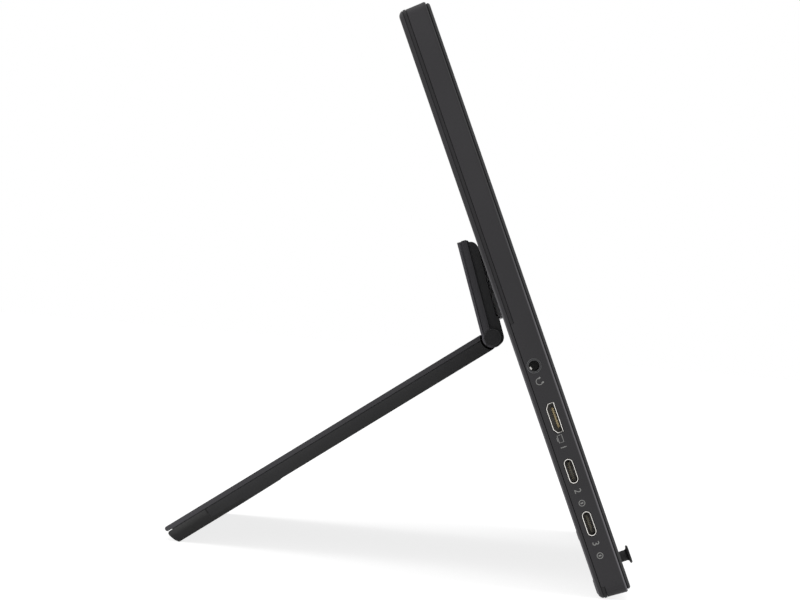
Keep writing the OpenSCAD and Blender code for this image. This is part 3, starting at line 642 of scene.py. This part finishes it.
def loft(bm, sections, closed=False):
    """Skins a row of outlines with the same count of points. Each is (x, points in y and z)."""
    rings = [[bm.verts.new((x, y, z)) for y, z in points] for x, points in sections]
    pairs = list(zip(rings, rings[1:]))
    if closed:
        pairs.append((rings[-1], rings[0]))
    for a, b in pairs:
        for i in range(len(a)):
            j = (i + 1) % len(a)
            bm.faces.new((a[i], a[j], b[j], b[i]))


def smooth(bm):
    bmesh.ops.recalc_face_normals(bm, faces=bm.faces)
    for face in bm.faces:
        face.smooth = True


def bevelled_box(bm, centre, size, radius, segments=2):
    box_at = Matrix.Translation(centre) @ Matrix.Diagonal((*size, 1))
    part = bmesh.ops.create_cube(bm, size=1, matrix=box_at)
    edges = {edge for vert in part["verts"] for edge in vert.link_edges}
    bmesh.ops.bevel(bm, geom=list(edges), offset=radius, segments=segments)


def tube_ring(bm, radius, thick, steps=64, sides=8):
    """Ring of round section about the X axis."""
    rows = []
    for i in range(steps):
        a = 2 * math.pi * i / steps
        row = []
        for j in range(sides):
            b = 2 * math.pi * j / sides
            r = radius + thick * math.cos(b)
            row.append(bm.verts.new((thick * math.sin(b), r * math.cos(a), r * math.sin(a))))
        rows.append(row)
    for i in range(steps):
        for j in range(sides):
            k = (j + 1) % sides
            after = rows[(i + 1) % steps]
            bm.faces.new((rows[i][j], rows[i][k], after[k], after[j]))


def strip(bm, points, width):
    """Flat ribbon along a row of points."""
    left, right = [], []
    for i, (x, y) in enumerate(points):
        x0, y0 = points[max(i - 1, 0)]
        x1, y1 = points[min(i + 1, len(points) - 1)]
        length = math.hypot(x1 - x0, y1 - y0)
        nx, ny = (y0 - y1) / length * width / 2, (x1 - x0) / length * width / 2
        left.append(bm.verts.new((x + nx, y + ny, 0)))
        right.append(bm.verts.new((x - nx, y - ny, 0)))
    for i in range(len(points) - 1):
        bm.faces.new((left[i], left[i + 1], right[i + 1], right[i]))


# Screen, grooves and hinge rims


def build_screen(material):
    """Lit area inside the black border of the glass."""
    half, z0, z1 = ACTIVE
    bm = bmesh.new()
    bmesh.ops.create_grid(bm, x_segments=24, y_segments=14, size=1)
    bm.transform(Matrix.Diagonal((half, (z1 - z0) / 2, 1, 1)))
    bm.transform(Matrix.Rotation(math.radians(90), 4, "X"))
    place = monitor @ Matrix.Translation((0, GLASS_DEPTH - AREA_PROUD, (z0 + z1) / 2))
    piece("screen_lit_area", bm, material, "monitor", place)


def build_seams(material):
    """Dark strips that close the two grooves round the housing, just under its surface; their dark colour is
    painted shade in the grooves.
    """
    backwards = monitor @ Matrix.Rotation(math.radians(90), 4, "Z")
    for name, (near, far, inset) in (("front", FRONT_SEAM), ("rear", REAR_SEAM)):
        bm = bmesh.new()
        outer = rounded_outline(inset)
        inner = rounded_outline(inset + SEAM_WIDTH)
        loft(bm, [(near, inner), (near, outer), (far, outer), (far, inner)], closed=True)
        smooth(bm)
        piece(f"seam_{name}", bm, material, "monitor", backwards)


def build_cap_rims(material):
    """Fine raised rims of the round caps at both ends of the lower hinge, painted lighter as a highlight."""
    x, y, z = joint("leg_hinge")["pos_m"]
    for name, side in (("left", -1), ("right", 1)):
        bm = bmesh.new()
        tube_ring(bm, *CAP_RIM)
        smooth(bm)
        place = Matrix.Translation((side * (STAND_HALF - CAP_RIM_INSET) * MM, y, z)) @ Matrix.Scale(MM, 4)
        piece(f"cap_rim_{name}", bm, material, "bracket", place)


# Sockets


def video_outline():
    """Mouth of the wide socket, with the two corners at the back cut off."""
    a, b = VIDEO_HALF
    c = VIDEO_CUT
    return [(-a, -b), (a - c, -b), (a, 1.5 * c - b), (a, b - 1.5 * c), (a - c, b), (-a, b)]


def port_rim(name, outline, at, material):
    """Thin rolled lip round a socket's mouth, as (distance inwards, growth of the outline)."""
    profile = [(0.3, 0.0), (-0.08, 0.0), (-0.12, -0.03), (-0.12, -0.2), (-0.08, -0.23), (0.3, -0.23)]
    bm = bmesh.new()
    loft(bm, [(x, grown(outline, by)) for x, by in profile], closed=True)
    smooth(bm)
    piece(name, bm, material, "monitor", port_place(at))


def tongue(name, size, at, offset, material):
    """Moulded board that carries a socket's contacts, over the plain one."""
    thick, long = size[0] + TONGUE_SKIN, size[1] + TONGUE_SKIN
    bm = bmesh.new()
    bevelled_box(bm, (TONGUE_MIDDLE, offset, 0), (TONGUE_REACH, thick, long), radius=0.12)
    smooth(bm)
    piece(name, bm, material, "monitor", port_place(at))


def tongue_lip(material):
    """Front edge of the wide socket's tongue, painted pale as a highlight."""
    bm = bmesh.new()
    bevelled_box(bm, (LIP_MIDDLE, VIDEO_OFFSET, 0), LIP_SIZE, radius=0.08)
    smooth(bm)
    piece("video_tongue_lip", bm, material, "monitor", port_place(VIDEO))


def contacts(name, at, material, count, pitch, width, offset, mouth=1.8, thick=0.05):
    """A row of flat gold contacts on a socket's tongue, from a depth behind the mouth."""
    bm = bmesh.new()
    for i in range(count):
        z = (i - (count - 1) / 2) * pitch
        middle = ((mouth + CONTACT_END) / 2, offset, z)
        bevelled_box(bm, middle, (CONTACT_END - mouth, thick, width), radius=0.02, segments=1)
    piece(name, bm, material, "monitor", port_place(at))


def jack_sleeve(material):
    """Sleeve contact just inside the audio jack, as (depth, radius)."""
    profile = [(0.35, 1.79), (0.45, 1.74), (1.2, 1.74), (1.3, 1.79)]
    bm = bmesh.new()
    loft(bm, [(x, ring(r)) for x, r in profile])
    smooth(bm)
    piece("jack_sleeve_contact", bm, material, "monitor", port_place(JACK))


def jack_spring(material):
    """Bent spring tongue that shows in the jack's bore, with its bends as (depth, radius)."""
    angles = [math.radians(a) for a in (-38, -24, -10, 4)]
    bends = ((0.5, 1.8), (0.75, 1.2), (1.6, 1.4), (3.0, 1.78))
    bm = bmesh.new()
    rows = [[bm.verts.new((x, r * math.cos(a), r * math.sin(a))) for a in angles] for x, r in bends]
    for near, far in zip(rows, rows[1:]):
        for i in range(len(angles) - 1):
            bm.faces.new((near[i], near[i + 1], far[i + 1], far[i]))
    piece("jack_spring", bm, material, "monitor", port_place(JACK))


def jack_collars(material):
    """Two fine rounded edges on the jack's ring, painted light grey as highlights."""
    for name, radius, thick in JACK_COLLARS:
        bm = bmesh.new()
        tube_ring(bm, radius, thick)
        smooth(bm)
        piece(f"jack_collar_{name}", bm, material, "monitor", port_place(JACK, JACK_FACE))


def build_video_socket(steel, gold):
    tan = fine_plastic("tongue_tan", colour(92, 84, 66), colour(100, 92, 72), 0.5, 0.4)
    port_rim("video_rim", video_outline(), VIDEO, steel)
    tongue("video_tongue", VIDEO_TONGUE, VIDEO, VIDEO_OFFSET, tan)
    # The pale paint on the tongue's front edge is a painted highlight.
    tongue_lip(fine_plastic("lip_painted_highlight", colour(176, 158, 118), colour(186, 168, 128), 0.45, 0.4))
    contacts("video_contacts_front", VIDEO, gold, count=10, pitch=0.72, width=0.5, offset=-0.82,
             mouth=1.6, thick=0.14)
    contacts("video_contacts_back", VIDEO, gold, count=9, pitch=0.72, width=0.34, offset=-0.11)


def build_usb_sockets(steel, gold):
    board = fine_plastic("tongue_plastic", colour(70, 68, 62), colour(78, 76, 68), 0.5, 0.4)
    for name, at in (("upper", USB_UPPER), ("lower", USB_LOWER)):
        port_rim(f"usb_rim_{name}", stadium(*USB_MOUTH), at, steel)
        tongue(f"usb_tongue_{name}", USB_TONGUE, at, 0, board)
        for side, offset in (("front", -0.37), ("back", 0.37)):
            contacts(f"usb_contacts_{name}_{side}", at, gold, count=12, pitch=0.5, width=0.28,
                     offset=offset, mouth=3.4)


def build_ports():
    steel = metal("rim_polished", (0.93, 0.91, 0.87, 1), 0.25)
    gold = metal("contact_gold", (0.55, 0.43, 0.24, 1), 0.35, UNBRUSHED)
    nickel = metal("jack_nickel", (0.5, 0.49, 0.47, 1), 0.25, UNBRUSHED)
    build_video_socket(steel, gold)
    build_usb_sockets(steel, gold)
    jack_sleeve(nickel)
    jack_spring(nickel)
    # The jack's collars are painted light grey as painted highlights.
    jack_collars(fine_plastic("jack_collar_painted_highlight", colour(92, 92, 94), colour(98, 98, 100), 0.4, 0.4))


# Printed marks


def side_place(y, z):
    """Frame on the left side face, which tapers inwards a little: X forwards, Y up, Z outwards."""
    slope = SIDE_TAPER / SIDE_FLAT
    inset = (y - SIDE_FROM) * slope
    forwards = Vector((-slope, -1, 0)).normalized()
    up = Vector((0, 0, 1))
    turn = Matrix((forwards, up, forwards.cross(up))).transposed().to_4x4()
    surface = monitor @ Matrix.Translation((inset - HALF_WIDTH, y, z)) @ turn
    return surface @ Matrix.Translation((0, 0, MARK_PROUD))


def turned(bm, degrees):
    """Turns a mark in its own plane, before it is put in place."""
    bm.transform(Matrix.Rotation(math.radians(degrees), 4, "Z"))


def mark(name, bm, material, y, z):
    """Puts a mark on the monitor's left side."""
    piece(name, bm, material, "monitor", side_place(y, z))


def printed_digit(name, text, y, z, size, material):
    """A plain number whose top points forwards."""
    curve = bpy.data.curves.new(name, "FONT")
    curve.body = text
    curve.size = size
    curve.align_x = "CENTER"
    curve.align_y = "CENTER"
    source = bpy.data.objects.new(name, curve)
    mesh = bpy.data.meshes.new_from_object(source)
    bpy.data.objects.remove(source)
    bm = bmesh.new()
    bm.from_mesh(mesh)
    turned(bm, -90)
    mark(name, bm, material, y, z)


def listening_mark(material):
    """Plain arch with two pads, printed below the audio jack."""
    bm = bmesh.new()
    strip(bm, arc(radius=1.2, first=-20, last=200), MARK_LINE)
    for side in (-1, 1):
        strip(bm, [(side, -0.3), (side, -1.15)], MARK_PAD)
    turned(bm, 110)
    mark("mark_listening", bm, material, *LISTENING_PLACE)


def ring_mark(name, y, z, material):
    """Ring with a bar across, for a plug of either use."""
    bm = bmesh.new()
    strip(bm, arc(radius=1.05, first=0, last=360), MARK_LINE)
    strip(bm, [(-0.5, 0), (0.5, 0)], MARK_BROAD_LINE)
    mark(name, bm, material, y, z)


def screen_mark(material):
    """Outline of a screen on its foot."""
    frame_line = [(-1.35, 0.1), (-1.35, 0.95), (1.35, 0.95), (1.35, -0.7), (-1.35, -0.7), (-1.35, 0.1)]
    bm = bmesh.new()
    strip(bm, frame_line, MARK_FINE_LINE)
    strip(bm, [(-0.7, -1.05), (0.7, -1.05)], MARK_FINE_LINE)
    turned(bm, -90)
    mark("mark_screen", bm, material, *SCREEN_MARK_PLACE)


def build_marks(material):
    listening_mark(material)
    screen_mark(material)
    printed_digit("mark_video", "1", *VIDEO_DIGIT_PLACE, VIDEO_DIGIT_SIZE, material)
    for name, z, digit in (("upper", USB_UPPER[1], "2"), ("lower", USB_LOWER[1], "3")):
        printed_digit(f"mark_usb_{name}", digit, USB_DIGIT_Y, z - USB_DIGIT_DROP, USB_DIGIT_SIZE, material)
        ring_mark(f"mark_ring_{name}", RING_MARK_Y, z - RING_MARK_DROP, material)


# Light, floor and camera


def light_switch(tree, seen, unseen):
    """One level for what the camera, gloss or glass sees directly, and another for the rest."""
    path = tree.nodes.new("ShaderNodeLightPath")
    total = path.outputs["Is Camera Ray"]
    for kind in ("Is Glossy Ray", "Is Transmission Ray"):
        total = math_of(tree, "MAXIMUM", total, path.outputs[kind])
    return spread(tree, total, unseen, seen)


def build_world():
    world = bpy.data.worlds.new("studio")
    bpy.context.scene.world = world
    world.use_nodes = True
    tree = world.node_tree
    background = tree.nodes["Background"]
    background.inputs["Color"].default_value = grey(1)
    strength = light_switch(tree, seen=1.0, unseen=WORLD_LEVEL)
    tree.links.new(strength, background.inputs["Strength"])


def floor_paper():
    """White ground that glows only where it is seen directly."""
    material, tree, shader = new_material("floor_paper")
    shader.inputs["Roughness"].default_value = 0.9
    shader.inputs["Specular IOR Level"].default_value = 0.0
    shader.inputs["Emission Color"].default_value = grey(1)
    lift = light_switch(tree, seen=FLOOR_LIFT, unseen=0.0)
    tree.links.new(lift, shader.inputs["Emission Strength"])
    tint = tree.nodes.new("ShaderNodeCombineColor")
    for channel in ("Red", "Green", "Blue"):
        tone = light_switch(tree, seen=FLOOR_SEEN, unseen=FLOOR_UNSEEN)
        tree.links.new(tone, tint.inputs[channel])
    tree.links.new(tint.outputs["Color"], shader.inputs["Base Color"])
    return material


def build_floor():
    bm = bmesh.new()
    bmesh.ops.create_grid(bm, x_segments=1, y_segments=1, size=FLOOR_HALF)
    mesh = bpy.data.meshes.new("floor")
    bm.to_mesh(mesh)
    bm.free()
    mesh.materials.append(floor_paper())
    floor = bpy.data.objects.new("floor", mesh)
    bpy.context.scene.collection.objects.link(floor)


def add_lamp(name, at, size, power):
    data = bpy.data.lights.new(name, "AREA")
    data.shape = "SQUARE"
    data.size = size
    data.energy = power
    lamp = bpy.data.objects.new(name, data)
    lamp.location = at
    lamp.rotation_euler = (Vector(LAMP_TARGET) - Vector(at)).to_track_quat("-Z", "Y").to_euler()
    bpy.context.scene.collection.objects.link(lamp)


def build_camera():
    data = bpy.data.cameras.new("photo_camera")
    data.sensor_width = SENSOR_MM
    data.lens = SENSOR_MM * FOCAL_WIDTHS
    data.clip_start, data.clip_end = CLIP
    camera = bpy.data.objects.new("photo_camera", data)
    yaw = math.radians(CAMERA_YAW)
    pitch = math.radians(CAMERA_PITCH)
    ahead = Vector((math.cos(pitch) * math.cos(yaw), math.cos(pitch) * math.sin(yaw), math.sin(pitch)))
    right = ahead.cross(Vector((0, 0, 1))).normalized()
    up = right.cross(ahead)
    turn = Matrix((right, up, -ahead)).transposed().to_4x4()
    roll = Matrix.Rotation(math.radians(CAMERA_ROLL), 4, "Z")
    camera.matrix_world = Matrix.Translation(CAMERA_AT) @ turn @ roll
    bpy.context.scene.collection.objects.link(camera)
    bpy.context.scene.camera = camera


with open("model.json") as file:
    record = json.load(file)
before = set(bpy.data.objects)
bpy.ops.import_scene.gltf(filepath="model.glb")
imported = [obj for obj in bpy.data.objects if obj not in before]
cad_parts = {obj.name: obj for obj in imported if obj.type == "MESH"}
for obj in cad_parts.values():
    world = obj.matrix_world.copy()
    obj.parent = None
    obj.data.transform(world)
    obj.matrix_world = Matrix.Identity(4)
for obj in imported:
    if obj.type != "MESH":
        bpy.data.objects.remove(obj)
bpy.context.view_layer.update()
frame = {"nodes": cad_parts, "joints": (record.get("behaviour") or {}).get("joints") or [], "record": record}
monitor = monitor_frame()
finishes = make_materials()
dress_nodes(finishes)
build_screen(finishes["active_area"])
build_ports()
# Groove strips painted dark as the shade in the grooves.
build_seams(fine_plastic("seam_painted_shade", colour(30, 30, 31), colour(34, 34, 35), 0.6, 0.2))
build_marks(moulded("print_grey", colour(120, 120, 118), colour(132, 132, 130), 0.6, 3000, 0.005))
# Cap rims painted lighter than the skin as a painted highlight.
build_cap_rims(fine_plastic("cap_rim_painted_highlight", colour(72, 72, 73), colour(78, 78, 79), 0.5, 0.3))
build_world()
build_floor()
for lamp_settings in LAMPS:
    add_lamp(*lamp_settings)
build_camera()
bpy.context.scene.view_settings.view_transform = "Standard"
